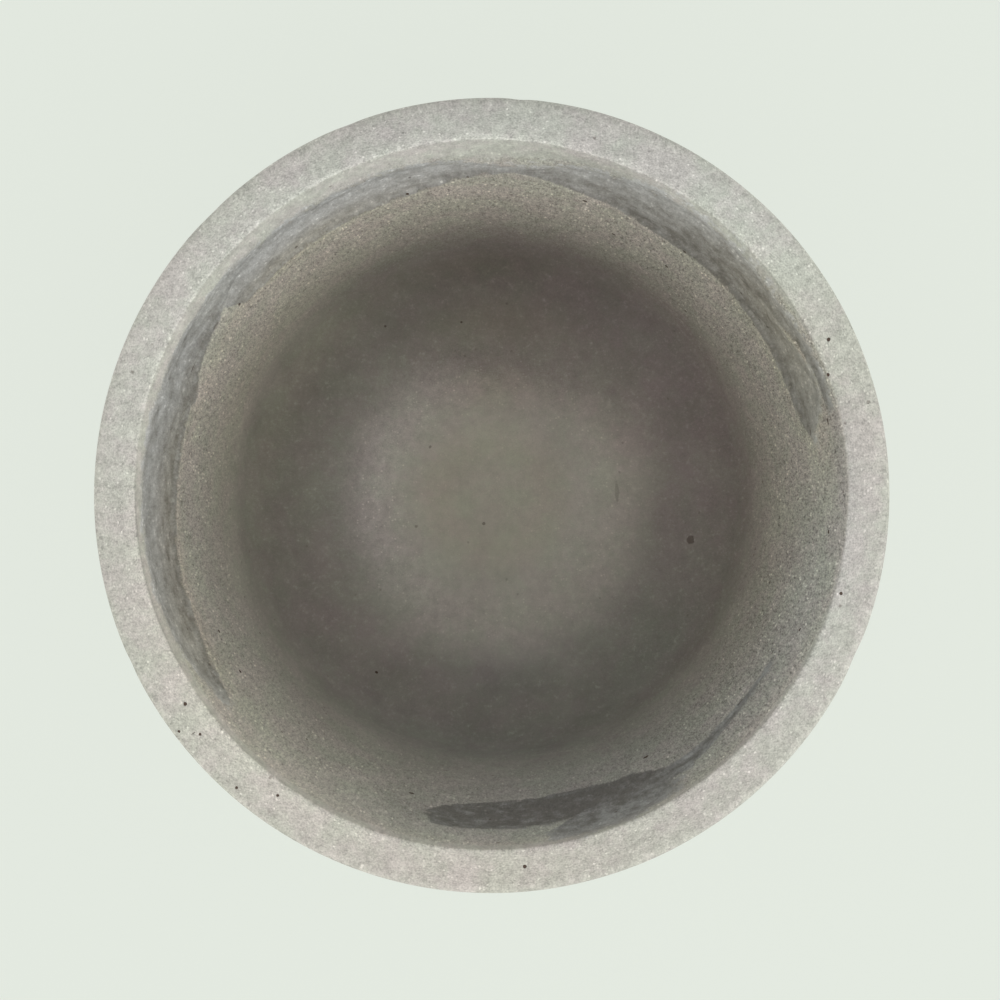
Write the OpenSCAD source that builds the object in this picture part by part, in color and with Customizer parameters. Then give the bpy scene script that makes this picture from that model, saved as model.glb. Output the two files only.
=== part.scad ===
// Concrete bowl planter: one thick-walled casting with rounded lower corners and a rubbed-down rim,
// standing on self-adhesive rubber pads. Millimetres, +Z up. The origin is the middle of the
// footprint, on the surface that the planter stands on.

/* [Casting] */
// Widest diameter, just under the rim
rim_d = 200; // [160:1:400]
// Thickness of the wall at the rim
wall_t = 11; // [7:0.5:20]
// Depth of the cavity, from the rim to its floor
cavity_depth = 125; // [95:1:300]
// Thickness of the floor
floor_t = 12.5; // [7:0.5:40]
// Draft of the inner wall, in degrees, which lets the core come out
inner_draft = 2; // [0.5:0.25:5]
// Draft of the outer wall, in degrees, which lets the casting leave its mould
outer_draft = 2; // [0.5:0.25:5]
// Radius of the round between the inner wall and the floor
inner_round_r = 36; // [22:1:60]
// Radius of the round between the outer wall and the base
outer_round_r = 45; // [25:1:55]

/* [Rim] */
// Radius of the rubbed-down outer edge of the rim
outer_edge_r = 4; // [1:0.25:5]
// Width and height of the chamfer that breaks the inner edge of the rim
inner_edge_chamfer = 1; // [0.5:0.25:1.75]

/* [Pads] */
// Diameter of a rubber pad
pad_d = 20; // [12:0.5:22]
// Thickness of a rubber pad
pad_t = 2; // [1:0.25:6]
// Distance from a pad's edge to the edge of the flat base
pad_inset = 4; // [1:0.5:6]
// How far the adhesive disc stays inside the edge of its pad
adhesive_margin = 0.5; // [0:0.25:2]
// Thickness of the adhesive disc
adhesive_t = 0.5; // [0.2:0.1:1.5]

/* [Hidden] */
$fn = 180;

concrete = [0.70, 0.69, 0.65];
black_rubber = [0.13, 0.13, 0.13];
adhesive_white = [0.88, 0.88, 0.84];

pad_count = 4;
first_pad_angle = 45;
over = 1; // how far a cutting shape runs past the face that it opens
tuck = 0.001; // how far a straight wall runs inside the arc that it meets, so that the two overlap
pie_margin = 6; // how far a pie slice reaches past the point where a wall meets its arc, in degrees

// Heights above the surface
base_z = pad_t + adhesive_t;
floor_z = base_z + floor_t;
rim_z = floor_z + cavity_depth;

rim_r = rim_d / 2;
mouth_r = rim_r - wall_t;

// Outer wall: it leans in towards the base and meets the rim's outer edge in tangent
outer_edge = [rim_r - outer_edge_r, rim_z - outer_edge_r];
outer_wall_top = outer_edge + outer_edge_r * [cos(outer_draft), -sin(outer_draft)];
function outer_wall_r(z) = outer_wall_top[0] - (outer_wall_top[1] - z) * tan(outer_draft);
outer_wall_foot_z = base_z + outer_round_r * (1 - sin(outer_draft));
outer_round = [
    outer_wall_r(outer_wall_foot_z) - outer_round_r * cos(outer_draft),
    base_z + outer_round_r
];

// Inner wall: it leans in towards the floor
function inner_wall_r(z) = mouth_r - (rim_z - z) * tan(inner_draft);
inner_wall_foot_z = floor_z + inner_round_r * (1 - sin(inner_draft));
inner_round = [
    inner_wall_r(inner_wall_foot_z) - inner_round_r * cos(inner_draft),
    floor_z + inner_round_r
];

// The pads sit just inside the edge of the flat base
pad_ring_r = outer_round[0] - pad_inset - pad_d / 2;

// Pie slice of a circle between two directions less than 120 degrees apart
module pie(centre, r, from, to) {
    reach = 2 * r;
    middle = (from + to) / 2;
    intersection() {
        translate(centre) circle(r = r);
        polygon([
            centre,
            centre + reach * [cos(from), sin(from)],
            centre + reach * [cos(middle), sin(middle)],
            centre + reach * [cos(to), sin(to)]
        ]);
    }
}

// Half section of the casting before it is hollowed
module outer_section() {
    polygon([
        [0, base_z],
        [outer_round[0], base_z],
        [outer_wall_r(outer_wall_foot_z) - tuck, outer_wall_foot_z],
        outer_wall_top - [tuck, 0],
        [outer_edge[0], rim_z],
        [0, rim_z]
    ]);
    pie(outer_round, outer_round_r, -90, -outer_draft + pie_margin);
    pie(outer_edge, outer_edge_r, -outer_draft - pie_margin, 90);
}

// Half section of the cavity, run out past the rim
module cavity_section() {
    polygon([
        [0, floor_z],
        [inner_round[0], floor_z],
        [inner_wall_r(inner_wall_foot_z) - tuck, inner_wall_foot_z],
        [inner_wall_r(rim_z + over) - tuck, rim_z + over],
        [0, rim_z + over]
    ]);
    pie(inner_round, inner_round_r, -90, -inner_draft + pie_margin);
}

// Half section of what the chamfer takes off the inner edge of the rim: all above a line at
// 45 degrees through the chamfer's foot
module chamfer_section() {
    foot = [inner_wall_r(rim_z - inner_edge_chamfer), rim_z - inner_edge_chamfer];
    run = inner_edge_chamfer + over;
    polygon([
        foot - [over, over],
        foot + [run, run],
        [foot[0] - over, rim_z + over]
    ]);
}

module concrete_bowl() {
    color(concrete)
        rotate_extrude()
            difference() {
                outer_section();
                cavity_section();
                chamfer_section();
            }
}

// Moves a pad or its adhesive to its place on the ring
module at_pad(number) {
    rotate([0, 0, first_pad_angle + (number - 1) * 360 / pad_count])
        translate([pad_ring_r, 0, 0])
            children();
}

module foot_pad(number) {
    color(black_rubber)
        at_pad(number) cylinder(h = pad_t, d = pad_d);
}

module pad_adhesive(number) {
    color(adhesive_white)
        at_pad(number)
            translate([0, 0, pad_t]) cylinder(h = adhesive_t, d = pad_d - 2 * adhesive_margin);
}

concrete_bowl();
foot_pad(1);  // foot_pad_1
foot_pad(2);  // foot_pad_2
foot_pad(3);  // foot_pad_3
foot_pad(4);  // foot_pad_4
pad_adhesive(1);  // pad_adhesive_1
pad_adhesive(2);  // pad_adhesive_2
pad_adhesive(3);  // pad_adhesive_3
pad_adhesive(4);  // pad_adhesive_4
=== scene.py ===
import bpy
import numpy as np
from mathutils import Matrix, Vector


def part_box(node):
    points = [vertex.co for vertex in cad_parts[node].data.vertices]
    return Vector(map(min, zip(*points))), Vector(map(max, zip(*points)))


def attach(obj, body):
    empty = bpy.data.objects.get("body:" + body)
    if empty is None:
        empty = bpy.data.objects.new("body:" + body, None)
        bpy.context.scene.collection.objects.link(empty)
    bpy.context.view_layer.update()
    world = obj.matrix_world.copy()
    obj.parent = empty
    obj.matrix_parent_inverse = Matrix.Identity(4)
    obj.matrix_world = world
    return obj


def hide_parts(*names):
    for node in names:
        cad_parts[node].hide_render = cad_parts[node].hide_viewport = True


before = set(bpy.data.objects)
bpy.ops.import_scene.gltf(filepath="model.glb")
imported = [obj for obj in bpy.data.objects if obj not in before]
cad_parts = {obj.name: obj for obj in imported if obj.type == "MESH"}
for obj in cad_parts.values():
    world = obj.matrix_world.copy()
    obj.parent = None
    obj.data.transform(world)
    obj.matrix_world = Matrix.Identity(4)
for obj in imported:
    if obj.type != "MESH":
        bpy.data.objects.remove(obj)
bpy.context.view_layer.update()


# --- The casting -----------------------------------------------------------------------------
# One pour of sand-and-cement concrete between a bowl mould and a core. Once it was hard, the rim
# was rubbed flat and its edges rounded with a wet stone, and the top of the inner wall was rubbed
# by hand in overlapping hollows. Lengths in this section are millimetres.

mm = 0.001
casting_low, casting_high = (np.array(corner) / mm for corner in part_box("concrete_bowl"))
base_z, rim_z = casting_low[2], casting_high[2]
rim_radius = casting_high[0]
floor_z = 15.0
mouth_radius = 89.0
draft = np.radians(2)

outer_edge_radius = 3.2
inner_edge_radius = 0.6
outer_round_radius = 45.0
inner_round_radius = 36.0
columns = 640


def arc(centre, radius, start, end, count):
    """Points on a circle, from the direction start to the direction end, in degrees."""
    angle = np.radians(np.linspace(start, end, count))
    return np.column_stack([centre[0] + radius * np.cos(angle),
                            centre[1] + radius * np.sin(angle)])


def line(start, end, count):
    """Evenly spaced points on a straight line, without its two ends."""
    share = np.linspace(0, 1, count + 2)[1:-1, None]
    return (1 - share) * np.array(start) + share * np.array(end)


# The section, as (radius, height), from the middle of the base round the outside, over the rim and
# down to the middle of the floor. Each wall leans by the draft and runs into its rounds in tangent
lean = np.tan(draft)
edge_centre = (rim_radius - outer_edge_radius, rim_z - outer_edge_radius)
wall_top = (edge_centre[0] + outer_edge_radius * np.cos(draft),
            edge_centre[1] - outer_edge_radius * np.sin(draft))
outer_centre_z = base_z + outer_round_radius
outer_foot_z = outer_centre_z - outer_round_radius * np.sin(draft)
outer_foot_radius = wall_top[0] - (wall_top[1] - outer_foot_z) * lean
outer_centre = (outer_foot_radius - outer_round_radius * np.cos(draft), outer_centre_z)
inner_centre_z = floor_z + inner_round_radius
inner_foot_z = inner_centre_z - inner_round_radius * np.sin(draft)
inner_foot_radius = mouth_radius - (rim_z - inner_foot_z) * lean
inner_centre = (inner_foot_radius - inner_round_radius * np.cos(draft), inner_centre_z)
lip_centre = (mouth_radius + inner_edge_radius, rim_z - inner_edge_radius)
rubbed_depth = 45.0  # down to here the points lie close together, to carry the rubbed hollows

base = line((0, base_z), (outer_centre[0], base_z), 7)
outer_round = arc(outer_centre, outer_round_radius, -90, -2, 14)
outer_wall = line(outer_round[-1], wall_top, 16)
outer_edge = arc(edge_centre, outer_edge_radius, -2, 90, 10)
rim_flat = line((edge_centre[0], rim_z), (lip_centre[0], rim_z), 5)
inner_edge = arc(lip_centre, inner_edge_radius, 90, 180, 6)
rubbed_wall = line(inner_edge[-1], (mouth_radius - rubbed_depth * lean, rim_z - rubbed_depth), 43)
inner_round = arc(inner_centre, inner_round_radius, -2, -90, 16)
lower_wall = line(rubbed_wall[-1], inner_round[0], 11)
floor = line((inner_centre[0], floor_z), (0, floor_z), 7)
section = np.vstack([[(0, base_z)], base, outer_round, outer_wall, outer_edge, rim_flat,
                     inner_edge, rubbed_wall, lower_wall, inner_round, floor, [(0, floor_z)]])
cavity = (inner_edge, rubbed_wall, lower_wall, inner_round, floor)
first_inside = len(section) - 1 - sum(map(len, cavity))

turn = np.linspace(0, 360, columns, endpoint=False)[None, :]
radius = np.repeat(section[:, :1], columns, axis=1)
height = np.repeat(section[:, 1:], columns, axis=1)

# For each point: whether it is inside the bowl, how deep it lies below the rim, and how far along
# the section it lies from the rim's inner edge, which is negative on the rim and the outside
row = np.arange(len(section))[:, None]
inside = (row >= first_inside).astype(float) * np.ones_like(radius)
depth = np.where(inside > 0, rim_z - height, 0.0)
steps = np.hypot(*np.diff(section, axis=0).T)
along = np.concatenate([[0], np.cumsum(steps)])
along = (along - along[first_inside])[:, None] * np.ones_like(radius)


def smooth(value):
    """Rises from 0 to 1 as value does, with no slope at either end."""
    value = np.clip(value, 0, 1)
    return value * value * (3 - 2 * value)


def away(direction, middle):
    """Signed angle from the direction middle, in degrees, the short way round."""
    return (direction - middle + 180) % 360 - 180


def uneven(turn, along, waves, seed):
    """Smooth unevenness from -1 to 1: sine waves that each run a whole number of times round the
    bowl and shift slowly along its section, with phases from a seeded generator."""
    draw = np.random.default_rng(seed)
    total = sum(np.sin(np.radians(turn * wave) + along * draw.uniform(-0.12, 0.12)
                       + draw.uniform(0, 2 * np.pi)) for wave in waves)
    return total / len(waves)


# The hollows rubbed into the inner wall. For each: the directions of its outline in degrees, the
# depth below the rim of its upper and its lower edge there, how deep it is cut, how far its upper
# edge fades, how steeply the stone's strokes fall from left to right, and how dark it was burnished
# at its top, its middle and its foot
HOLLOWS = [
    ((30, 37, 44, 55, 62, 69), (11, 7, 5, 6, 7, 10),
     (25, 32, 33.5, 36, 35.5, 31), 0.9, 9, 0.30, (0.00, 0.62, 0.85)),
    ((57, 66, 75, 81, 87), (8, 9, 12, 17, 21),
     (34, 33, 31, 27, 24), 0.8, 6, 0.20, (0.15, 0.42, 0.65)),
    ((14, 18, 21, 26, 31, 37, 43), (3, 3, 3.5, 5, 6.5, 8, 10),
     (8, 8, 8.5, 12, 15.5, 20, 23), 0.5, 3, 0.45, (0.25, 0.50, 0.85)),
    ((10, 12, 14, 17, 20, 25, 30, 38, 44), (21, 18, 14, 10, 9, 12.5, 16, 20.5, 24),
     (23, 27, 29.5, 31, 31.5, 31.5, 32, 32.5, 31), 0.9, 4, 0.40, (0.35, 0.40, 0.80)),
    ((78, 84, 90, 95, 100, 106, 116, 126, 136, 142, 146),
     (19, 19.5, 18.5, 16, 13.5, 12.5, 12, 11.5, 9.5, 8.5, 8),
     (21, 23.5, 26, 28, 31, 34, 35, 34.5, 34, 32.5, 18),
     0.8, 3.5, -0.10, (0.40, 0.15, 0.50)),
    ((138, 145, 147, 150, 155, 158, 161, 163, 165), (8, 7.5, 7.5, 7, 6.5, 6.5, 6.5, 7, 8),
     (16, 20, 23, 24.5, 26.5, 29, 33, 32.5, 22), 0.9, 1.8, 0.00, (0.50, 0.40, 0.75)),
    ((162, 164, 172, 178, 184, 190, 197, 205, 212, 218), (6.5, 6, 5, 4.5, 4.5, 4.5, 4.5, 6, 10, 13),
     (28, 30.5, 31, 30.5, 29, 27, 26.5, 25, 22.5, 18), 0.8, 2.5, 0.05, (0.35, 0.42, 0.65)),
    ((258, 259.5, 261.5, 264, 268, 273, 286, 297, 303),
     (22, 17.5, 16.3, 16, 16.3, 16.5, 17, 16, 17),
     (25, 30, 33, 35, 37, 38.5, 38.5, 33, 24),
     0.4, 2, 0.00, (0.92, 0.98, 1.03)),
    ((280, 284, 290, 296, 303), (4, 2.5, 2.5, 3, 6),
     (11, 19, 24, 24, 18), 0.4, 4, 0.25, (0.45, 0.62, 0.75)),
    ((298, 306, 312, 320, 330), (14, 15, 18, 20.5, 22),
     (25, 24, 25, 25, 24), 0.4, 2, 0.05, (0.65, 0.70, 0.65)),
]

# ground is how far inside a hollow's outline a point lies, and brink how far above its lower edge,
# both in millimetres and up to far_off
far_off = 8.0
ground = np.full_like(radius, -far_off)
brink = np.full_like(radius, far_off)
cut = np.zeros_like(radius)
tone = np.zeros_like(radius)
fall = np.zeros_like(radius)
weight = np.full_like(radius, 1e-6)
for directions, upper, lower, cut_depth, fade, slope, tones in HOLLOWS:
    middle = (directions[0] + directions[-1]) / 2
    offset = away(turn, middle)
    outline = np.array(directions) - middle
    top = np.interp(offset, outline, upper)
    bottom = np.interp(offset, outline, lower)
    around = np.radians(offset) * mouth_radius
    end = np.radians(np.abs(outline[0]) - np.abs(offset)) * mouth_radius
    below, above = bottom - depth, depth - top
    field = np.minimum(np.minimum(below, above * 1.2 / fade), 0.35 * end)
    field = np.where(inside > 0, np.clip(field, -far_off, far_off), -far_off)
    here = smooth(field / 3 + 0.5)
    hollowed = smooth(below / 1.8) * smooth(above / 7) * smooth(end / 9)
    cut = np.maximum(cut, cut_depth * hollowed)
    ground = np.maximum(ground, field)
    tone += here * np.interp(above / (bottom - top), (0, 0.5, 1), tones)
    fall += here * slope * around
    weight += here
    fading = np.where(end > 0, below / np.maximum(smooth(end / 8), 0.02), far_off)
    nearer = (np.abs(fading) < np.abs(brink)) & (inside > 0) & (cut_depth > 0.4)
    brink = np.where(nearer, fading, brink)
cut *= inside
tone /= weight
fall /= np.maximum(weight, 1)

# The mouth is a little narrower than the wall below it and widens to it over 14 mm. For each
# direction: by how much
NARROWING = [
    (0, 0.42), (15, 0.35), (45, 0.4), (52, 0.4), (60, 0.65), (70, 0.9), (80, 0.7), (92, 0.5),
    (110, 0.4), (125, 0.35), (140, 0.25), (160, 0.1), (172, 0.15), (180, 0.3), (195, 0.3),
    (210, 0.6), (225, 0.5), (255, 0.55), (270, 0.8), (285, 0.87), (300, 0.85), (315, 0.68),
    (330, 0.45), (345, 0.32), (360, 0.42),
]
narrower = np.interp(turn, *zip(*NARROWING))
flat = (row >= first_inside - len(rim_flat)) & (row < first_inside)
share = np.where(flat, (edge_centre[0] - radius) / (edge_centre[0] - lip_centre[0]), 0)
widening = np.clip(1 - depth / 14, 0, 1) ** 2
radius -= np.where(inside > 0, narrower * widening - cut, narrower * share)

# The core and the mould were a little out of round and off centre, and the rim was rubbed by eye
wavy = uneven(turn, height, (2, 3, 5), 11)
fine = uneven(turn, height, (7, 11, 16, 23), 12)
outer = 1 - inside
off_centre = 0.09 * (1 + np.cos(np.radians(turn - 108)))
radius -= outer * (radius / rim_radius) * (0.06 * (1 + wavy) + 0.03 * (1 + fine) + off_centre)
radius += inside * smooth(depth / 6) * (0.22 * wavy + 0.05 * fine) * (radius / mouth_radius)
on_rim = smooth(height - rim_z + 1)
height -= on_rim * 0.05 * (1 + uneven(turn, 0, (2, 3, 4, 7), 13))

# Small chips in the outer edge: direction, half width in degrees, depth
CHIPS = [(86, 1.2, 0.25), (111, 1.6, 0.15), (135, 2.6, 0.15), (205, 1.4, 0.15), (336, 2.4, 0.30)]
near_edge = np.exp(-((height - (rim_z - 2.4)) / 2.2) ** 2) * outer
for direction, half_width, chip_depth in CHIPS:
    radius -= near_edge * chip_depth * np.exp(-(away(turn, direction) / half_width) ** 2)


def turned(name, radius, height, turn, axis=(0, 0)):
    """A closed surface round an upright axis: x and y are the axis plus radius times the cosine and
    sine of the turn, z is the height. One row for each point of the section and one column for each
    direction; the first and the last row lie on the axis and become a single point each."""
    x = axis[0] + radius * np.cos(np.radians(turn))
    y = axis[1] + radius * np.sin(np.radians(turn))
    across = np.stack([x, y, height], axis=-1)
    rings = across[1:-1]
    points = np.vstack([rings.reshape(-1, 3), across[0, :1], across[-1, :1]]) * mm
    count, around = rings.shape[:2]
    ring = np.arange(count * around).reshape(count, around)
    beside = np.roll(ring, -1, axis=1)
    walls = np.stack([ring[:-1], beside[:-1], beside[1:], ring[1:]], axis=-1).reshape(-1, 4)
    first = np.full(around, count * around)
    caps = np.vstack([np.column_stack([first, beside[0], ring[0]]),
                      np.column_stack([first + 1, ring[-1], beside[-1]])])
    mesh = bpy.data.meshes.new(name)
    mesh.from_pydata(points.tolist(), [], walls.tolist() + caps.tolist())
    mesh.shade_smooth()
    piece = bpy.data.objects.new(name, mesh)
    bpy.context.scene.collection.objects.link(piece)
    return piece


casting = turned("casting", radius, height, turn)


def keep(piece, name, values):
    """Stores one value, or one vector, for each point of a turned surface, in its points' order."""
    kind, key = ("FLOAT", "value") if values.ndim == 2 else ("FLOAT_VECTOR", "vector")
    flat = np.concatenate([values[1:-1].ravel(), values[0, 0].ravel(), values[-1, 0].ravel()])
    piece.data.attributes.new(name, kind, "POINT").data.foreach_set(key, flat.astype(np.float32))


# How much sand shows in the surface: most on the upper wall, where the mix was poured dry against
# the core, less on the rubbed rim, and less and less towards the smooth lower wall and floor. In
# front the smooth skin starts higher up than at the back and on the left
on_wall = smooth((130 - along) / 20) * smooth(along / 40)
# low_shift and floor_shift move the painted shade in the skin below: it reaches higher up the wall
# in front on the right, on the window's side, whose wall faces away from the window, and further
# out over the floor at the back
low_shift = 9 * np.cos(np.radians(turn - 150)) * on_wall
floor_shift = -6 * np.cos(np.radians(turn - 80)) * smooth((along - 115) / 20)
sand_shift = 7 * np.cos(np.radians(turn - 80)) * on_wall
sandy = np.interp(along - sand_shift, (-110, -18, -11, -1, 2, 39, 52, 64, 76, 92, 140),
                  (0.3, 0.35, 0.66, 0.66, 1.0, 1.05, 0.95, 0.75, 0.5, 0.22, 0.18))
in_front = np.interp(turn, (0, 40, 90, 180, 215, 235, 285, 300, 320, 360),
                     (1.1, 1.1, 1.0, 0.95, 0.8, 0.74, 0.7, 0.85, 1.1, 1.1))
sandy = sandy * np.where(along > 1, in_front, 1)

# How light the cement skin is at each place along the section. It grows darker down the inner wall
# and is darkest in the round between the wall and the floor: partly from darker cement that settled
# there, partly painted shade
SKIN_AND_SHADE = [
    (-200, 0.80), (-16, 0.80), (-11, 0.86), (0, 0.86), (9, 0.70), (39, 0.67), (52, 0.64),
    (72, 0.54), (90, 0.37), (107, 0.13), (120, 0.12), (136, 0.33), (150, 0.82), (165, 0.91),
]
skin_and_shade = np.interp(along - low_shift + floor_shift, *zip(*SKIN_AND_SHADE))

# How far the pale rubbed surface of the rim runs on down the inner wall before it fades out, for
# each direction: 8 to 15 mm at the back, and up to 6 mm at the sides and in front
PALE_REACH = [
    (0, 0.2), (14, 0.0), (24, 0.6), (30, 2.4), (42, 7.6), (55, 10), (75, 10.5), (90, 15.5),
    (100, 12), (130, 12), (140, 10), (160, 8.8), (180, 6.5), (210, 6), (225, 4.4), (290, 3.6),
    (330, 2.9), (345, 1.8), (360, 0.2),
]
pale_reach = np.interp(turn, *zip(*PALE_REACH))
pale_fade = 1.3 + 0.35 * pale_reach
rubbed_width = 11.7  # of the rim, from its inner edge out over its flat
rubbed = (smooth((along + rubbed_width) / 1.2)
          * smooth((pale_reach - along) / pale_fade + 0.5))

# The inner edge of the rim: a painted highlight along it at the back, where it faces the window,
# and a fine painted shadow line along it on the left and a fainter one on the right
painted_edge_light = np.exp(-((along - 0.6) / 1.3) ** 2) * smooth(3.6 - np.abs(away(turn, 112)) / 18)
painted_edge_shadow = np.exp(-((along - 1.2) / 0.6) ** 2) * (smooth(2.0 - np.abs(away(turn, 193)) / 9)
                                                + 0.5 * smooth(2.0 - np.abs(away(turn, 31)) / 5))

# Air bubbles that opened at the surface, a few short creases between the strokes of the stone, and
# a scratch in the floor, all darkened inside with painted shade: direction, distance along the
# section from the rim's inner edge, half their width, how many times longer they are round the
# bowl, and how much painted shade darkens them
PITS = [
    (25, -3, 0.5, 1, 1), (19.5, 0.5, 0.5, 1, 1), (12.5, 9.5, 0.35, 3, 1), (72.5, 36.5, 0.6, 1.3, 1),
    (65, 54, 0.45, 1.3, 1), (53, 54.5, 0.5, 1.3, 1), (44, 75, 0.5, 1, 1), (2, 48.5, 0.5, 1, 1),
    (354, 13.5, 0.5, 1, 1), (348.5, 75.5, 0.6, 1, 1), (336.5, 15.5, 0.5, 1, 1),
    (300.5, 40.5, 0.65, 1.5, 1), (255, 36.5, 0.5, 1.7, 1), (236, 116, 0.6, 1, 1),
    (206.5, 39.5, 0.6, 1, 1), (215, 37.5, 0.6, 1, 1), (210.5, 71, 0.5, 1, 1),
    (214.5, -3, 0.45, 1, 1), (219.5, -4.5, 0.4, 1, 1), (217, -8, 0.35, 1, 1), (229, -7, 0.35, 1, 1),
    (234.5, -2.5, 0.35, 1, 1), (275, -3.5, 0.5, 1, 1), (344.5, -1, 0.4, 1, 1),
    (105.5, 33.5, 0.45, 1, 1), (143, 29.5, 0.5, 1, 0.8), (168.5, 44.5, 0.6, 1, 1),
    (100.5, 129.5, 0.45, 1, 0.7), (122.5, 120, 0.45, 1, 0.7), (248.5, 185, 0.6, 1, 0.5),
    (142.5, 165.5, 0.5, 1.3, 0.4), (201, 164.5, 0.6, 1, 0.4), (2.5, 150, 0.8, 5, 0.25),
    (347.5, 120.5, 1.6, 1, 0.6), (157, 25, 0.35, 4, 0.6), (148.5, 24, 0.3, 5, 0.4),
    (209.5, 16, 0.7, 1.5, 0.3), (212.5, 20.5, 0.8, 1.5, 0.3), (203.5, 20, 0.5, 1, 0.4),
    (190.5, 22, 0.4, 2, 0.4), (186.5, 25.5, 0.3, 3, 0.4), (33, 33.5, 0.35, 2, 0.7),
    (31.5, 27.5, 0.35, 1.5, 0.5), (11.2, 24, 0.4, 2.5, 0.7), (51.8, 35.5, 0.35, 2, 0.7),
    (320, 25, 0.4, 3, 0.4), (331, 26.5, 0.3, 3, 0.7), (14, 17, 0.3, 3, 0.5),
]
far_from_pits = 9.0  # where no bubble is near, many times its half width
to_pit = np.full(radius.shape + (3,), far_from_pits)
by_pit = np.zeros_like(radius)
surface = np.stack([radius * np.cos(np.radians(turn)), radius * np.sin(np.radians(turn)), height],
                   axis=-1)
for direction, place, half_width, stretch, darkness in PITS:
    column = int(round(direction / 360 * columns)) % columns
    spot = np.array([np.interp(place, along[:, 0], surface[:, column, axis]) for axis in range(3)])
    sideways = np.array([-np.sin(np.radians(direction)), np.cos(np.radians(direction)), 0])
    offset = surface - spot
    distance = np.linalg.norm(offset, axis=-1)
    offset -= (offset @ sideways)[..., None] * sideways * (1 - 1 / stretch)
    near = 3.0 if place < 85 else 9.0  # the surface's points lie further apart on the floor
    to_pit[distance < near] = offset[distance < near] / half_width
    by_pit = np.maximum(by_pit, darkness * smooth(near - distance))
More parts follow.
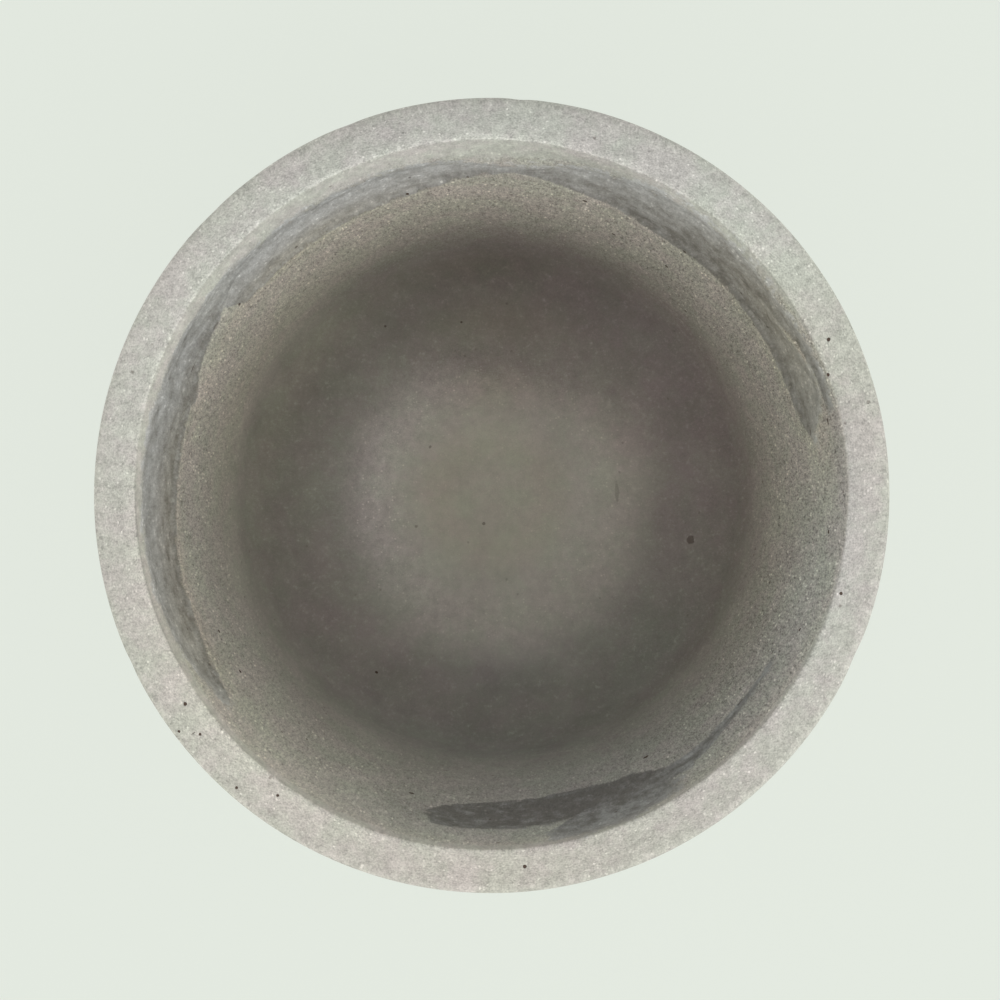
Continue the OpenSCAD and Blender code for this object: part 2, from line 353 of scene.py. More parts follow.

# Stains left by damp, form oil and settled cement, and a few patches of painted light and painted
# shade, each a soft patch: its middle direction and its spread in degrees, its place along the
# section and its spread in millimetres, and how much more red, green and blue the concrete shows
# there
STAINS_AND_PAINTED_LIGHT = [
    # On the rim
    (90, 70, -4, 9, -0.02, -0.01, 0.02), (290, 80, -4, 9, 0.02, -0.01, 0.00),
    (30, 35, -4, 8, 0.06, 0.06, 0.06), (90, 30, -8, 6, -0.10, -0.10, -0.10),
    (150, 30, -5, 8, 0.04, 0.04, 0.04), (285, 65, -3, 6, 0.06, 0.06, 0.06),
    (260, 70, -11, 2.5, -0.10, -0.10, -0.10), (48, 20, -4, 8, 0.03, 0.06, 0.06),
    (112, 22, -4, 8, -0.03, -0.04, -0.04), (168, 14, -4, 8, 0.04, 0.03, 0.05),
    # (64, 10, -1, 3) here darkens the rim's inner edge with painted shade, toning down its
    # highlight
    (272, 24, -4, 8, 0.02, 0.00, -0.02), (64, 10, -1, 3, -0.07, -0.07, -0.07),
    # On the rubbed upper wall
    (290, 36, 45, 45, -0.14, -0.11, -0.06), (110, 55, 40, 30, 0.12, 0.09, 0.08),
    (225, 30, 18, 26, 0.13, 0.12, 0.09), (22, 26, 18, 16, 0.03, 0.01, -0.07),
    (115, 55, 12, 14, -0.025, 0.00, 0.035), (128, 16, 32, 5, 0.03, 0.01, -0.06),
    (174, 14, 27, 5, 0.01, 0.00, -0.05), (206, 9, 18, 9, 0.02, 0.00, -0.05),
    (4, 16, 4, 6, -0.12, -0.11, -0.09), (250, 34, 16, 20, -0.03, -0.01, -0.01),
    (35, 16, 22, 12, -0.11, -0.13, -0.16), (105, 55, 4, 5, 0.07, 0.07, 0.07),
    (94, 14, 28, 7, -0.12, -0.12, -0.12), (145, 5, 14, 9, 0.12, 0.12, 0.10),
    (160, 12, 37, 6, 0.14, 0.12, 0.10), (190, 18, 23, 8, -0.01, -0.05, -0.10),
    (345, 26, 18, 22, 0.05, 0.09, 0.14), (281, 22, 28, 12, 0.035, 0.00, 0.02),
    (255, 6, 24, 12, -0.09, -0.09, -0.09), (222, 28, 8, 9, 0.10, 0.09, 0.08),
    (185, 30, 3, 4, 0.14, 0.13, 0.12), (290, 60, 4, 5, 0.08, 0.07, 0.06),
    (12, 14, 5, 8, -0.10, -0.10, -0.10), (50, 12, 4, 4, 0.08, 0.08, 0.08),
    # (105, 50, 7, 8) here is painted light on the upper wall at the back; (152, 22, 0, 1.5) here
    # and (112, 12, 0.5, 2) on the next line darken the rim's inner edge with painted shade, toning
    # down its highlight
    (105, 50, 7, 8, 0.10, 0.10, 0.10), (152, 22, 0, 1.5, -0.07, -0.07, -0.07),
    (112, 12, 0.5, 2, -0.03, -0.03, -0.03), (158, 20, 6, 4, 0.08, 0.08, 0.08),
    (72, 10, 9, 5, -0.12, -0.12, -0.12), (90, 24, 20, 4, 0.08, 0.08, 0.08),
    # On the lower wall and in the round
    # (80, 45, 104, 24) and (98, 32, 82, 30) here darken the round and the lower wall at the back:
    # partly a stain, partly painted shade
    (80, 45, 104, 24, -0.22, -0.27, -0.24), (98, 32, 82, 30, -0.10, -0.10, -0.10),
    (15, 50, 70, 40, 0.10, 0.08, 0.07), (20, 45, 115, 30, 0.03, -0.04, 0.02),
    (155, 40, 72, 20, 0.15, 0.13, 0.09), (170, 35, 105, 14, -0.10, -0.10, -0.12),
    (265, 40, 95, 22, -0.02, 0.01, 0.05), (155, 35, 108, 14, 0.10, 0.10, 0.07),
    (225, 25, 118, 14, 0.03, -0.02, 0.02), (320, 25, 118, 14, -0.02, 0.02, -0.01),
    (180, 22, 124, 5, 0.10, 0.10, 0.09), (203, 12, 103, 6, -0.09, -0.09, -0.09),
    (270, 14, 129, 10, -0.11, -0.11, -0.10), (135, 12, 84, 8, 0.08, 0.08, 0.08),
    (350, 18, 128, 10, -0.05, -0.05, -0.05), (275, 25, 86, 7, -0.09, -0.09, -0.09),
    (95, 20, 106, 9, -0.09, -0.07, -0.12), (45, 20, 107, 12, 0.00, 0.03, 0.02),
    (135, 18, 107, 12, -0.02, 0.00, -0.035), (315, 20, 107, 12, -0.024, 0.00, 0.015),
    # On the floor
    (175, 60, 148, 10, 0.05, 0.05, 0.11), (150, 45, 150, 16, 0.09, 0.09, 0.09),
    (15, 35, 143, 14, 0.14, 0.12, 0.12), (260, 50, 164, 12, -0.04, -0.05, -0.04),
    (75, 60, 162, 9, -0.06, -0.07, -0.07), (85, 40, 148, 9, -0.14, -0.18, -0.15),
    (85, 60, 132, 10, -0.07, -0.08, -0.08), (200, 28, 139, 5, -0.08, -0.08, -0.08),
    (285, 50, 130, 14, 0.00, 0.00, 0.035), (10, 60, 155, 6, 0.05, 0.05, 0.05),
    (165, 50, 155, 6, 0.07, 0.07, 0.07), (28, 14, 140, 8, 0.06, 0.06, 0.06),
    (135, 12, 145, 12, 0.06, 0.06, 0.06), (170, 50, 172, 8, 0.035, 0.00, 0.01),
    (90, 25, 155, 9, 0.03, 0.00, -0.02), (0, 25, 153, 9, -0.02, 0.00, -0.015),
    (90, 25, 130, 12, 0.00, 0.00, -0.055),
]
stain_and_painted_light = np.ones(radius.shape + (3,))
for direction, spread, place, reach, *change in STAINS_AND_PAINTED_LIGHT:
    patch = np.exp(-(away(turn, direction) / spread) ** 2 - ((along - place) / reach) ** 2)
    stain_and_painted_light += patch[..., None] * change
# The middle of the floor is a little greener than the rest
stain_and_painted_light *= 1 + smooth((along - 160) / 20)[..., None] * (0, -0.035, -0.075)
stain_and_painted_light *= 1 + smooth((along - 170) / 15)[..., None] * (-0.03, 0, 0)

# The floor was scuffed in a ring, most on the left
scuffed = np.exp(-((along - 150) / 10) ** 2) * (1 + 0.3 * np.cos(np.radians(turn - 170)))
stain_and_painted_light *= 1 + scuffed[..., None] * (0.01, -0.01, 0.00)
sandy = (sandy * (1 - 0.6 * rubbed * smooth(along / 2))
         + 0.12 * scuffed * (1 + 0.5 * np.cos(np.radians(turn - 150))))

# The core was drawn upwards, so the sand in the inner wall is dragged out to twice its width. On
# the rim it was cut flat by a stone that ran round with the rim
drawn = surface * (1 + 0.3 * on_rim * (radius - mouth_radius) / mouth_radius)[..., None]
drawn[..., 2] = np.where(inside > 0, rim_z - depth / 2, height)
stroke = surface * (0.45, 0.45, 0)
stroke[..., 2] = height - fall

# What the surface's looks need to know at each point goes into attributes of the mesh
edge_light_and_shadow = 0.45 * painted_edge_light - 1.8 * painted_edge_shadow
for name, values in (("sandy", sandy), ("skin_and_shade", skin_and_shade), ("rubbed", rubbed), ("painted_edge_light", edge_light_and_shadow),
                     ("ground", ground), ("brink", brink), ("burnish", tone),
                     ("drawn", drawn * mm), ("stroke", stroke * mm), ("to_pit", to_pit),
                     ("by_pit", by_pit), ("stain_and_painted_light", stain_and_painted_light), ("scuffed", scuffed)):
    keep(casting, name, values * np.ones_like(surface if values.ndim == 3 else radius))


def linear(colour):
    """An sRGB hex colour as linear red, green, blue and alpha."""
    value = np.array([int(colour[i:i + 2], 16) for i in (0, 2, 4)]) / 255
    value = np.where(value <= 0.04045, value / 12.92, ((value + 0.055) / 1.055) ** 2.4)
    return (*value, 1.0)


def add(tree, kind, settings, inputs, output=0):
    """Adds a node and gives back one of its outputs. settings are the node's own options. inputs
    are its sockets, by name or number: an output is linked to them, and a value is set on them."""
    node = tree.nodes.new(kind)
    for key, value in settings.items():
        setattr(node, key, value)
    for key, value in inputs.items():
        if isinstance(value, bpy.types.NodeSocket):
            tree.links.new(value, node.inputs[key])
        else:
            node.inputs[key].default_value = value
    return node.outputs[output]


# Sand-and-cement concrete. Where it was rubbed, or poured dry against the core, it shows its sand;
# where wet cement settled against the core it has a smooth darker skin, darkened further down the
# wall and in the round with painted shade; where it was burnished by the stone it is a neutral
# grey, streaked and flecked with cut grains.
concrete = bpy.data.materials.new("sand_cement_concrete")
concrete.use_nodes = True
nodes = concrete.node_tree
place = add(nodes, "ShaderNodeTexCoord", {}, {}, "Object")
drawn_place = add(nodes, "ShaderNodeAttribute", {"attribute_name": "drawn"}, {}, "Vector")
stroke_place = add(nodes, "ShaderNodeAttribute", {"attribute_name": "stroke"}, {}, "Vector")
to_bubble = add(nodes, "ShaderNodeAttribute", {"attribute_name": "to_pit"}, {}, "Vector")
by_bubble = add(nodes, "ShaderNodeAttribute", {"attribute_name": "by_pit"}, {}, "Fac")
stain_and_light_tint = add(nodes, "ShaderNodeAttribute", {"attribute_name": "stain_and_painted_light"}, {}, "Vector")
scuff = add(nodes, "ShaderNodeAttribute", {"attribute_name": "scuffed"}, {}, "Fac")
sandiness = add(nodes, "ShaderNodeAttribute", {"attribute_name": "sandy"}, {}, "Fac")
skin_and_shade_tone = add(nodes, "ShaderNodeAttribute", {"attribute_name": "skin_and_shade"}, {}, "Fac")
rubbed_rim = add(nodes, "ShaderNodeAttribute", {"attribute_name": "rubbed"}, {}, "Fac")
edge_tone = add(nodes, "ShaderNodeAttribute", {"attribute_name": "painted_edge_light"}, {}, "Fac")
in_hollow = add(nodes, "ShaderNodeAttribute", {"attribute_name": "ground"}, {}, "Fac")
above_brink = add(nodes, "ShaderNodeAttribute", {"attribute_name": "brink"}, {}, "Fac")
burnish_tone = add(nodes, "ShaderNodeAttribute", {"attribute_name": "burnish"}, {}, "Fac")

# Sand of 0.5 mm with coarser grains of 1.2 mm between it, a few of them pale quartz and a few dark
fine_sand = add(
    nodes, "ShaderNodeTexNoise", {},
    {"Vector": drawn_place, "Scale": 1 / 0.0005, "Detail": 1.0, "Roughness": 0.6}, "Fac")
coarse_sand = add(
    nodes, "ShaderNodeTexNoise", {},
    {"Vector": drawn_place, "Scale": 1 / 0.0012, "Detail": 2.0, "Roughness": 0.6}, "Fac")
grain = add(nodes, "ShaderNodeTexVoronoi", {},
            {"Vector": drawn_place, "Scale": 1 / 0.0010}, "Distance")
grain_kind = add(nodes, "ShaderNodeSeparateColor", {}, {0: grain.node.outputs["Color"]})
grain_top = add(nodes, "ShaderNodeMapRange", {"interpolation_type": "SMOOTHSTEP"},
                {0: grain, 1: 0.5, 2: 0.2})
quartz = add(nodes, "ShaderNodeMapRange", {}, {0: grain_kind.node.outputs[0], 1: 0.80, 2: 1.0})
quartz = add(nodes, "ShaderNodeMath", {"operation": "MULTIPLY"}, {0: quartz, 1: grain_top})
flint = add(nodes, "ShaderNodeMapRange", {}, {0: grain_kind.node.outputs[1], 1: 0.82, 2: 1.0})
flint = add(nodes, "ShaderNodeMath", {"operation": "MULTIPLY"}, {0: flint, 1: grain_top})
speckle = add(nodes, "ShaderNodeMath", {"operation": "MULTIPLY_ADD"},
              {0: fine_sand, 1: 1.3, 2: -0.65})
speckle = add(nodes, "ShaderNodeMath", {"operation": "MULTIPLY_ADD"},
              {0: coarse_sand, 1: 1.0, 2: speckle})
speckle = add(nodes, "ShaderNodeMath", {"operation": "MULTIPLY_ADD"},
              {0: quartz, 1: 0.8, 2: speckle})
speckle = add(nodes, "ShaderNodeMath", {"operation": "MULTIPLY_ADD"},
              {0: flint, 1: -0.28, 2: speckle})
speckle = add(nodes, "ShaderNodeMath", {"operation": "SUBTRACT"}, {0: speckle, 1: 0.52})

# Mottling: cement and damp left clouds from 3 to 40 mm across, pinkish here and greenish there
mottle = add(nodes, "ShaderNodeTexNoise", {},
             {"Vector": place, "Scale": 1 / 0.0035, "Detail": 3.0, "Roughness": 0.6}, "Fac")
cloud = add(nodes, "ShaderNodeTexNoise", {},
            {"Vector": place, "Scale": 1 / 0.016, "Detail": 4.0, "Roughness": 0.55}, "Fac")
hue = add(nodes, "ShaderNodeTexNoise", {},
          {"Vector": place, "Scale": 1 / 0.012, "Detail": 5.0, "Roughness": 0.65}, "Fac")
hue = add(nodes, "ShaderNodeMapRange", {"interpolation_type": "SMOOTHSTEP"},
          {0: hue, 1: 0.35, 2: 0.65})
tint = add(nodes, "ShaderNodeMix", {"data_type": "RGBA"},
           {0: hue, 6: (1.026, 0.986, 1.004, 1.0), 7: (0.979, 1.009, 0.967, 1.0)}, 2)

# The cement skin, darkened with painted shade, from its darkest in the round to its palest on the
# floor, and the rubbed rim
skin_and_shade_level = add(nodes, "ShaderNodeMath", {"operation": "MULTIPLY_ADD"},
                 {0: cloud, 1: 0.45, 2: skin_and_shade_tone})
skin_and_shade_level = add(nodes, "ShaderNodeMath", {"operation": "SUBTRACT"}, {0: skin_and_shade_level, 1: 0.225})
skin_and_shade_colour = add(nodes, "ShaderNodeMix", {"data_type": "RGBA"},
                  {0: skin_and_shade_level, 6: linear("8D8982"), 7: linear("C7C5BA")}, 2)
# The rubbed surface ends raggedly, where the stone began to miss the hollows between the grains
ragged = add(nodes, "ShaderNodeMath", {"operation": "MULTIPLY_ADD"},
             {0: coarse_sand, 1: 0.8, 2: rubbed_rim})
ragged = add(nodes, "ShaderNodeMath", {"operation": "MULTIPLY_ADD"}, {0: mottle, 1: 0.8, 2: ragged})
ragged = add(nodes, "ShaderNodeMapRange", {"interpolation_type": "SMOOTHSTEP"},
             {0: ragged, 1: 0.85, 2: 1.5})
skin_and_shade_colour = add(nodes, "ShaderNodeMix", {"data_type": "RGBA"},
                  {0: ragged, 6: skin_and_shade_colour, 7: linear("BFBEB5")}, 2)
shown = add(nodes, "ShaderNodeMath", {"operation": "MULTIPLY_ADD"},
            {0: speckle, 1: sandiness, 2: 1.0})
patchy = add(nodes, "ShaderNodeMath", {"operation": "MULTIPLY_ADD"}, {0: scuff, 1: 0.25, 2: 0.26})
patchy = add(nodes, "ShaderNodeMath", {"operation": "MULTIPLY_ADD"},
             {0: rubbed_rim, 1: 0.35, 2: patchy})
centred = add(nodes, "ShaderNodeMath", {"operation": "SUBTRACT"}, {0: mottle, 1: 0.5})
shown = add(nodes, "ShaderNodeMath", {"operation": "MULTIPLY_ADD"},
            {0: centred, 1: patchy, 2: shown})
marks = add(nodes, "ShaderNodeMath", {"operation": "MULTIPLY"}, {0: quartz, 1: scuff})
shown = add(nodes, "ShaderNodeMath", {"operation": "MULTIPLY_ADD"}, {0: marks, 1: 0.15, 2: shown})
cast_colour = add(nodes, "ShaderNodeVectorMath", {"operation": "MULTIPLY"},
                  {0: skin_and_shade_colour, 1: tint})
cast_colour = add(nodes, "ShaderNodeVectorMath", {"operation": "SCALE"},
                  {0: cast_colour, "Scale": shown})

# Strokes of the rubbing stone, about 7 mm long and 3 mm wide, falling as the hollow's own did, with
# clusters of cut grains of pale sand between them
strokes = add(nodes, "ShaderNodeTexNoise", {},
              {"Vector": stroke_place, "Scale": 1 / 0.0028, "Detail": 2.0, "Roughness": 0.5}, "Fac")
worn = add(nodes, "ShaderNodeMath", {"operation": "MULTIPLY_ADD"},
           {0: strokes, 1: 3.0, 2: in_hollow})
worn = add(nodes, "ShaderNodeMath", {"operation": "MULTIPLY_ADD"},
           {0: coarse_sand, 1: 2.0, 2: worn})
worn = add(nodes, "ShaderNodeMath", {"operation": "MULTIPLY_ADD"}, {0: mottle, 1: 3.0, 2: worn})
worn = add(nodes, "ShaderNodeMapRange", {"interpolation_type": "SMOOTHSTEP"},
           {0: worn, 1: 3.4, 2: 4.6})
cut_grain = add(nodes, "ShaderNodeTexVoronoi", {},
                {"Vector": place, "Scale": 1 / 0.0014}, "Distance")
cut_kind = add(nodes, "ShaderNodeSeparateColor", {}, {0: cut_grain.node.outputs["Color"]})
cut_top = add(nodes, "ShaderNodeMapRange", {"interpolation_type": "SMOOTHSTEP"},
              {0: cut_grain, 1: 0.5, 2: 0.15})
fleck = add(nodes, "ShaderNodeMapRange", {}, {0: cut_kind, 1: 0.5, 2: 1.0})
fleck = add(nodes, "ShaderNodeMath", {"operation": "MULTIPLY"}, {0: fleck, 1: cut_top})
cluster = add(nodes, "ShaderNodeMapRange", {"interpolation_type": "SMOOTHSTEP"},
              {0: mottle, 1: 0.42, 2: 0.62})
fleck = add(nodes, "ShaderNodeMath", {"operation": "MULTIPLY"}, {0: fleck, 1: cluster})
unburnt = add(nodes, "ShaderNodeMapRange", {}, {0: burnish_tone, 1: 0.0, 2: 1.0, 3: 1.0, 4: 0.25})
fleck = add(nodes, "ShaderNodeMath", {"operation": "MULTIPLY"}, {0: fleck, 1: unburnt})
paler = add(nodes, "ShaderNodeMath", {"operation": "MULTIPLY_ADD"}, {0: strokes, 1: 0.75, 2: -0.1})
paler = add(nodes, "ShaderNodeMath", {"operation": "MULTIPLY_ADD"}, {0: mottle, 1: 1.45, 2: paler})
paler = add(nodes, "ShaderNodeMath", {"operation": "SUBTRACT"}, {0: paler, 1: burnish_tone})
burnished = add(nodes, "ShaderNodeMix", {"data_type": "RGBA"},
                {0: paler, 6: linear("7E7C75"), 7: linear("BFC0BC")}, 2)
flecked = add(nodes, "ShaderNodeMath", {"operation": "MULTIPLY_ADD"}, {0: speckle, 1: 0.5, 2: 1.0})
flecked = add(nodes, "ShaderNodeMath", {"operation": "MULTIPLY_ADD"},
              {0: fleck, 1: 0.8, 2: flecked})
burnished = add(nodes, "ShaderNodeVectorMath", {"operation": "SCALE"},
                {0: burnished, "Scale": flecked})
surface_colour = add(nodes, "ShaderNodeMix", {"data_type": "RGBA"},
                     {0: worn, 6: cast_colour, 7: burnished}, 2)

# The foot of a hollow: a painted highlight on the lip below it, where the lip catches the light,
# and a thin line of painted shade just inside. The greys of the ramp are half of what the colour is
# multiplied by
foot_line = add(nodes, "ShaderNodeMath", {"operation": "MULTIPLY_ADD"},
                {0: coarse_sand, 1: 1.2, 2: above_brink})
foot_line = add(nodes, "ShaderNodeMapRange", {}, {0: foot_line, 1: -1.9, 2: 3.6})
foot_line = add(nodes, "ShaderNodeValToRGB", {}, {0: foot_line})
stops = foot_line.node.color_ramp.elements
for position, grey in ((0.25, 0.56), (0.38, 0.5), (0.5, 0.41), (0.7, 0.45)):
    stops.new(position).color = (grey, grey, grey, 1)
stops[0].color = stops[-1].color = (0.5, 0.5, 0.5, 1)
foot_line = add(nodes, "ShaderNodeMath", {"operation": "MULTIPLY"}, {0: foot_line, 1: 2.0})
# The painted highlight along the rim's inner edge at the back, and its painted shadow lines at the
# sides
edge_line = add(nodes, "ShaderNodeMath", {"operation": "MULTIPLY"}, {0: edge_tone, 1: coarse_sand})
lines = add(nodes, "ShaderNodeMath", {"operation": "MULTIPLY_ADD"},
            {0: edge_line, 1: 0.3, 2: foot_line})
surface_colour = add(nodes, "ShaderNodeVectorMath", {"operation": "SCALE"},
                     {0: surface_colour, "Scale": lines})

# Stains, with their patches of painted light and shade, and open air bubbles and pinholes of half a
# millimetre here and there, darkened inside with painted shade
surface_colour = add(nodes, "ShaderNodeVectorMath", {"operation": "MULTIPLY"},
                     {0: surface_colour, 1: stain_and_light_tint})
hole = add(nodes, "ShaderNodeVectorMath", {"operation": "LENGTH"}, {0: to_bubble}, "Value")
hole = add(nodes, "ShaderNodeMath", {"operation": "MULTIPLY_ADD"},
           {0: coarse_sand, 1: 0.8, 2: hole})
hole = add(nodes, "ShaderNodeMapRange", {"interpolation_type": "SMOOTHSTEP"},
           {0: hole, 1: 1.15, 2: 1.5, 3: 1.0, 4: 0.0})
hole = add(nodes, "ShaderNodeMath", {"operation": "MULTIPLY"}, {0: hole, 1: by_bubble})
pinhole = add(nodes, "ShaderNodeTexVoronoi", {}, {"Vector": place, "Scale": 1 / 0.009}, "Distance")
pinhole = add(nodes, "ShaderNodeMath", {"operation": "MULTIPLY_ADD"},
              {0: coarse_sand, 1: 0.04, 2: pinhole})
pinhole = add(nodes, "ShaderNodeMapRange", {"interpolation_type": "SMOOTHSTEP"},
              {0: pinhole, 1: 0.05, 2: 0.09, 3: 0.6, 4: 0.0})
fewer = add(nodes, "ShaderNodeMath", {"operation": "MULTIPLY_ADD"}, {0: sandiness, 1: 0.7, 2: 0.3})
pinhole = add(nodes, "ShaderNodeMath", {"operation": "MULTIPLY"}, {0: pinhole, 1: fewer})
hole = add(nodes, "ShaderNodeMath", {"operation": "MAXIMUM"}, {0: hole, 1: pinhole})
surface_colour = add(nodes, "ShaderNodeMix", {"data_type": "RGBA"},
                     {0: hole, 6: surface_colour, 7: linear("57483E")}, 2)

# Relief: the sand stands out, the stone left fine scratches, and the bubbles are holes
relief = add(nodes, "ShaderNodeMath", {"operation": "MULTIPLY"}, {0: speckle, 1: sandiness})
relief = add(nodes, "ShaderNodeMath", {"operation": "MULTIPLY"}, {0: relief, 1: 0.2})
relief = add(nodes, "ShaderNodeMix", {"data_type": "FLOAT"}, {0: worn, 2: relief, 3: 0.0})
scratch = add(nodes, "ShaderNodeMath", {"operation": "MULTIPLY"}, {0: strokes, 1: worn})
relief = add(nodes, "ShaderNodeMath", {"operation": "MULTIPLY_ADD"},
             {0: scratch, 1: 0.08, 2: relief})
relief = add(nodes, "ShaderNodeMath", {"operation": "MULTIPLY_ADD"}, {0: hole, 1: -0.35, 2: relief})
bump = add(nodes, "ShaderNodeBump", {}, {"Strength": 1.0, "Distance": mm, "Height": relief})
roughness = add(nodes, "ShaderNodeMix", {"data_type": "FLOAT"}, {0: worn, 2: 0.9, 3: 0.62})

shader = nodes.nodes["Principled BSDF"]
nodes.links.new(surface_colour, shader.inputs["Base Color"])
nodes.links.new(roughness, shader.inputs["Roughness"])
nodes.links.new(bump, shader.inputs["Normal"])
shader.inputs["IOR"].default_value = 1.5
shader.inputs["Specular IOR Level"].default_value = 0.35
casting.data.materials.append(concrete)
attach(casting, "root")
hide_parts("concrete_bowl")


# --- Adhesive discs --------------------------------------------------------------------------
# Four discs of white double-sided foam tape, 19 mm across and half a millimetre thick. Each is
# stuck to the flat base of the casting and holds one rubber pad. Lengths are millimetres.

foam = bpy.data.materials.new("acrylic_foam_tape")
foam.use_nodes = True
nodes = foam.node_tree
# White closed-cell foam: cells of 0.15 mm, cut open at the disc's edge
place = add(nodes, "ShaderNodeTexCoord", {}, {}, "Object")
cells = add(nodes, "ShaderNodeTexVoronoi", {}, {"Vector": place, "Scale": 1 / 0.00015}, "Distance")
shade = add(nodes, "ShaderNodeMix", {"data_type": "RGBA"},
            {0: cells, 6: linear("C9C9C2"), 7: linear("E3E3DD")}, 2)
bump = add(nodes, "ShaderNodeBump", {}, {"Strength": 0.5, "Distance": 0.05 * mm, "Height": cells})
shader = nodes.nodes["Principled BSDF"]
nodes.links.new(shade, shader.inputs["Base Color"])
nodes.links.new(bump, shader.inputs["Normal"])
shader.inputs["Roughness"].default_value = 0.65

disc_columns = 96
turn = np.linspace(0, 360, disc_columns, endpoint=False)[None, :]
for number in (1, 2, 3, 4):
    low, high = (np.array(corner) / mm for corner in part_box("pad_adhesive_" + str(number)))
    middle, foam_radius = (low + high) / 2, (high[0] - low[0]) / 2
    side = np.linspace(low[2], high[2], 5)
    # Die-cut from a sheet: the soft foam bulges out a little at mid height, between its two faces
    bulge = foam_radius - 0.05 * (2 * (side - middle[2]) / (high[2] - low[2])) ** 2
    profile = np.vstack([[(0, low[2]), (foam_radius / 2, low[2])], np.column_stack([bulge, side]),
                         [(foam_radius / 2, high[2]), (0, high[2])]])
    radius = np.repeat(profile[:, :1], disc_columns, axis=1)
    height = np.repeat(profile[:, 1:], disc_columns, axis=1)
    rough_cut = 1 - 0.006 * (1 + uneven(turn, 0, (3, 5, 8), 20 + number)) / 2
    disc = turned("adhesive_disc_" + str(number), radius * rough_cut, height, turn, middle[:2])
    disc.data.materials.append(foam)
    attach(disc, "root")
    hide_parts("pad_adhesive_" + str(number))


# --- Rubber pads -----------------------------------------------------------------------------
# Four pads of black rubber, 20 mm across and 2 mm thick, moulded with a rounded lower edge. Each is
# held to the base by its adhesive disc, just inside the edge of the flat. Lengths are millimetres.

rubber = bpy.data.materials.new("moulded_black_rubber")
rubber.use_nodes = True
nodes = rubber.node_tree
# Matte skin of the mould, with a fine grain of 0.3 mm and a little dust
place = add(nodes, "ShaderNodeTexCoord", {}, {}, "Object")
skin_grain = add(nodes, "ShaderNodeTexNoise", {},
                 {"Vector": place, "Scale": 1 / 0.0003, "Detail": 2.0}, "Fac")
dust = add(nodes, "ShaderNodeTexNoise", {},
           {"Vector": place, "Scale": 1 / 0.004, "Detail": 3.0}, "Fac")
dusty = add(nodes, "ShaderNodeMapRange", {"interpolation_type": "SMOOTHSTEP"},
            {0: dust, 1: 0.4, 2: 0.8})
shade = add(nodes, "ShaderNodeMix", {"data_type": "RGBA"},
            {0: dusty, 6: linear("242424"), 7: linear("3A3937")}, 2)
roughness = add(nodes, "ShaderNodeMapRange", {}, {0: skin_grain, 1: 0.3, 2: 0.7, 3: 0.5, 4: 0.72})
bump = add(nodes, "ShaderNodeBump", {},
           {"Strength": 0.4, "Distance": 0.05 * mm, "Height": skin_grain})
shader = nodes.nodes["Principled BSDF"]
nodes.links.new(shade, shader.inputs["Base Color"])
nodes.links.new(roughness, shader.inputs["Roughness"])
nodes.links.new(bump, shader.inputs["Normal"])

pad_columns = 96
turn = np.linspace(0, 360, pad_columns, endpoint=False)[None, :]
lower_edge, upper_edge = 0.5, 0.15
for number in (1, 2, 3, 4):
    low, high = (np.array(corner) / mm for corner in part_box("foot_pad_" + str(number)))
    middle, pad_radius = (low + high) / 2, (high[0] - low[0]) / 2
    profile = np.vstack([
        [(0, low[2]), (pad_radius / 2, low[2])],
        arc((pad_radius - lower_edge, low[2] + lower_edge), lower_edge, -90, 0, 7),
        arc((pad_radius - upper_edge, high[2] - upper_edge), upper_edge, 0, 90, 4),
        [(pad_radius / 2, high[2]), (0, high[2])]])
    radius = np.repeat(profile[:, :1], pad_columns, axis=1)
    height = np.repeat(profile[:, 1:], pad_columns, axis=1)
    pad = turned("rubber_pad_" + str(number), radius, height, turn, middle[:2])
    pad.data.materials.append(rubber)
    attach(pad, "root")
    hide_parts("foot_pad_" + str(number))


# --- The table -------------------------------------------------------------------------------
# A pale table top, not part of the planter. To the camera and in reflections it glows, so that it
# is even and bright however the light falls on it.

stage = bpy.data.meshes.new("table_top")
reach = 2.0
corners = [(-reach, -reach, 0), (reach, -reach, 0), (reach, reach, 0), (-reach, reach, 0)]
stage.from_pydata(corners, [], [(0, 1, 2, 3)])
table = bpy.data.objects.new("table_top", stage)
bpy.context.scene.collection.objects.link(table)
painted = bpy.data.materials.new("painted_table")
painted.use_nodes = True
nodes = painted.node_tree
shader = nodes.nodes["Principled BSDF"]
pale = linear("E4EAE1")
shader.inputs["Base Color"].default_value = pale
shader.inputs["Roughness"].default_value = 0.7
glow = add(nodes, "ShaderNodeEmission", {}, {"Color": pale, "Strength": 1.0})
ray = add(nodes, "ShaderNodeLightPath", {}, {}, "Is Camera Ray")
seen = add(nodes, "ShaderNodeMath", {"operation": "MAXIMUM"},
           {0: ray, 1: ray.node.outputs["Is Glossy Ray"]})
seen = add(nodes, "ShaderNodeMath", {"operation": "MAXIMUM"},
           {0: seen, 1: ray.node.outputs["Is Transmission Ray"]})
seen = add(nodes, "ShaderNodeMath", {"operation": "MULTIPLY"}, {0: seen, 1: 0.78})
blend = add(nodes, "ShaderNodeMixShader", {}, {0: seen, 1: shader.outputs[0], 2: glow})
nodes.links.new(blend, nodes.nodes["Material Output"].inputs["Surface"])
stage.materials.append(painted)


# --- Light and camera ------------------------------------------------------------------------
# Even daylight from all round, brighter low down and towards a window in front, a little to the
# right.

scene = bpy.context.scene
scene.view_settings.view_transform = "Standard"

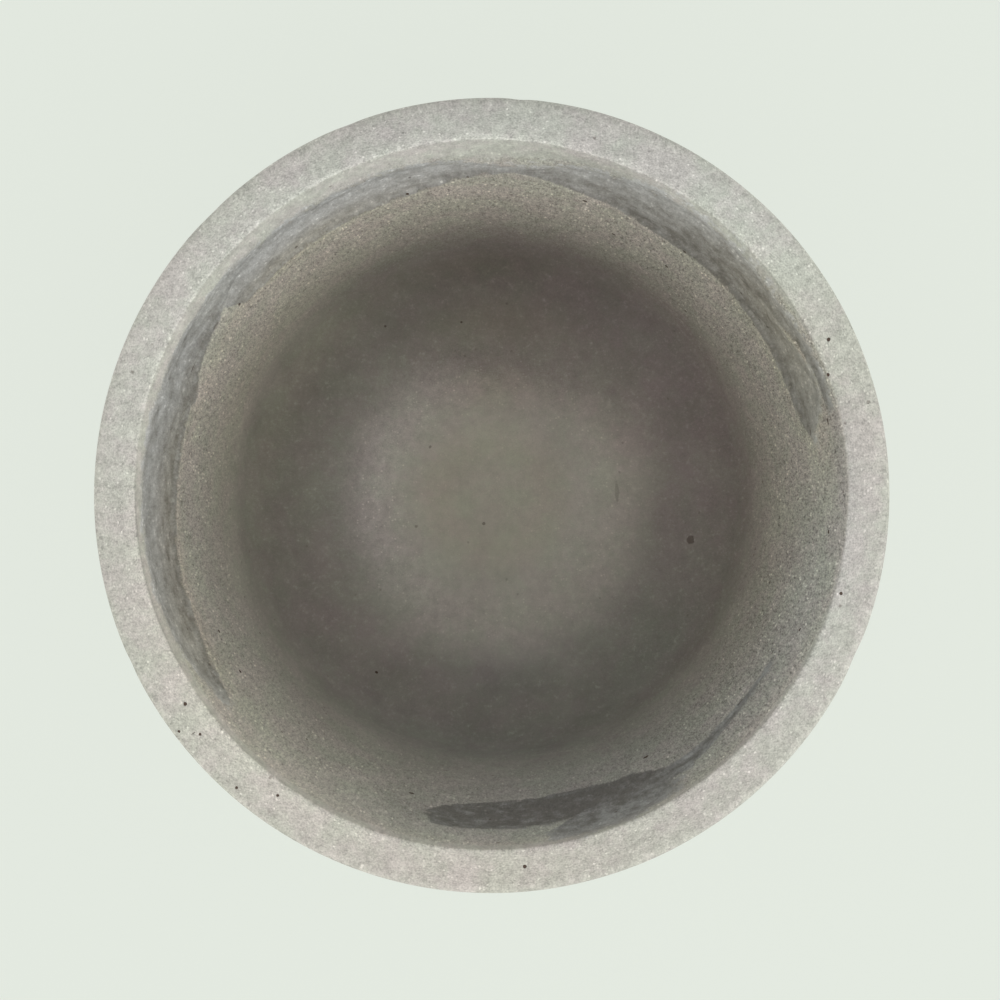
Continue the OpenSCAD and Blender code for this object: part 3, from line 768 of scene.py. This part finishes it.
world = bpy.data.worlds.new("daylight")
scene.world = world
world.use_nodes = True
nodes = world.node_tree
sky = nodes.nodes["Background"]
sky.inputs["Color"].default_value = linear("FFFFFF")
window_side = np.radians(-68)
outlook = add(nodes, "ShaderNodeTexCoord", {}, {}, "Generated")
upwards = add(nodes, "ShaderNodeSeparateXYZ", {}, {0: outlook}, 2)
level = add(nodes, "ShaderNodeMapRange", {}, {0: upwards, 1: 0.0, 2: 1.0, 3: 1.42, 4: 0.70})
ahead = add(nodes, "ShaderNodeVectorMath", {"operation": "DOT_PRODUCT"},
            {0: outlook, 1: (np.cos(window_side), np.sin(window_side), 0)}, "Value")
ahead = add(nodes, "ShaderNodeMath", {"operation": "MULTIPLY_ADD"}, {0: ahead, 1: 0.35, 2: 1.0})
level = add(nodes, "ShaderNodeMath", {"operation": "MULTIPLY"}, {0: level, 1: ahead})
nodes.links.new(level, sky.inputs["Strength"])
backdrop = add(nodes, "ShaderNodeBackground", {}, {"Color": pale, "Strength": 1.0})
ray = add(nodes, "ShaderNodeLightPath", {}, {}, "Is Camera Ray")
seen = add(nodes, "ShaderNodeMath", {"operation": "MAXIMUM"},
           {0: ray, 1: ray.node.outputs["Is Glossy Ray"]})
seen = add(nodes, "ShaderNodeMath", {"operation": "MAXIMUM"},
           {0: seen, 1: ray.node.outputs["Is Transmission Ray"]})
blend = add(nodes, "ShaderNodeMixShader", {}, {0: seen, 1: sky.outputs[0], 2: backdrop})
nodes.links.new(blend, nodes.nodes["World Output"].inputs["Surface"])


def aim(piece, place, target):
    """Puts a lamp or camera at place and turns it towards target, both in metres."""
    piece.location = place
    piece.rotation_euler = (Vector(target) - Vector(place)).to_track_quat("-Z", "Y").to_euler()


window = bpy.data.lights.new("window", "AREA")
window.shape = "RECTANGLE"
window.size, window.size_y = 1.6, 0.5
window.energy = 3.0
lamp = bpy.data.objects.new("window", window)
scene.collection.objects.link(lamp)
window_elevation, window_distance = np.radians(17), 1.5
level_distance = window_distance * np.cos(window_elevation)
aim(lamp, (level_distance * np.cos(window_side), level_distance * np.sin(window_side),
           0.14 + window_distance * np.sin(window_elevation)), (0, 0, 0.12))

# Straight above the bowl, a quarter of a metre over its rim
camera = bpy.data.cameras.new("camera")
camera.sensor_width = 36
camera.lens = 36
viewer = bpy.data.objects.new("camera", camera)
scene.collection.objects.link(viewer)
viewer.location = (0.00210, -0.00127, 0.3884)
scene.camera = viewer
